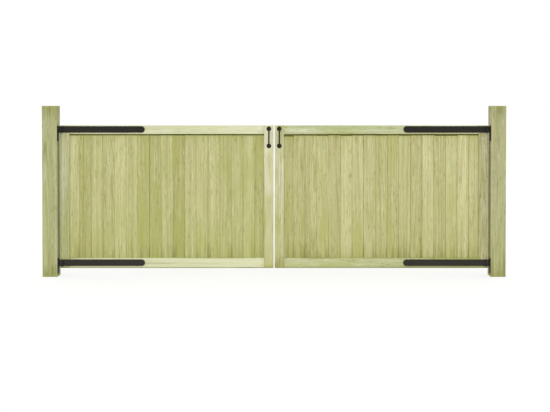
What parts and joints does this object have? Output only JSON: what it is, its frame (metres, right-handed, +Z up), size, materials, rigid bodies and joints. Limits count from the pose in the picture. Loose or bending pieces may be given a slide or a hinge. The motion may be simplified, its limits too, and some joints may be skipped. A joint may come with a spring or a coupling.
{
  "type": "pair of wooden garden gates",
  "caption": "Framed and boarded timber garden gates hung as a pair between square posts on long black strap hinges, each with a black pull handle.",
  "frame": {"origin": "centre of the foot of the left post, at ground level", "axes": "+X along the gateway from the left post to the right post, -Y towards the side that carries the hinges and handles, +Z up"},
  "size_m": [3.236, 0.111, 1.195],
  "materials": {
    "post_timber": "planed pressure-treated softwood, pale green",
    "frame_timber": "planed pressure-treated softwood, pale yellow-green",
    "board_timber": "planed pressure-treated softwood, yellow-green, varied from board to board",
    "black_iron": "satin black powder coat on steel"
  },
  "bodies": {
    "posts": {"left_post": "post_timber", "right_post": "post_timber", "left_top_pintle": "black_iron", "left_bottom_pintle": "black_iron", "right_top_pintle": "black_iron", "right_bottom_pintle": "black_iron"},
    "left_leaf": {"left_hinge_stile": "frame_timber", "left_meeting_stile": "frame_timber", "left_top_rail": "frame_timber", "left_bottom_rail": "frame_timber", "left_boards": "board_timber", "left_top_ledge": "frame_timber", "left_bottom_ledge": "frame_timber", "left_top_strap": "black_iron", "left_bottom_strap": "black_iron", "left_handle": "black_iron"},
    "right_leaf": {"right_hinge_stile": "frame_timber", "right_meeting_stile": "frame_timber", "right_top_rail": "frame_timber", "right_bottom_rail": "frame_timber", "right_boards": "board_timber", "right_top_ledge": "frame_timber", "right_bottom_ledge": "frame_timber", "right_top_strap": "black_iron", "right_bottom_strap": "black_iron", "right_handle": "black_iron"}
  },
  "joints": [
    {"name": "left_leaf_swing", "type": "hinge", "parent": "posts", "child": "left_leaf", "pos_m": [0.0745, -0.03555, 0.558], "axis": [0, 0, -1], "range_deg": [0, 120]},
    {"name": "right_leaf_swing", "type": "hinge", "parent": "posts", "child": "right_leaf", "pos_m": [3.0565, -0.03555, 0.558], "axis": [0, 0, 1], "range_deg": [0, 120]}
  ]
}
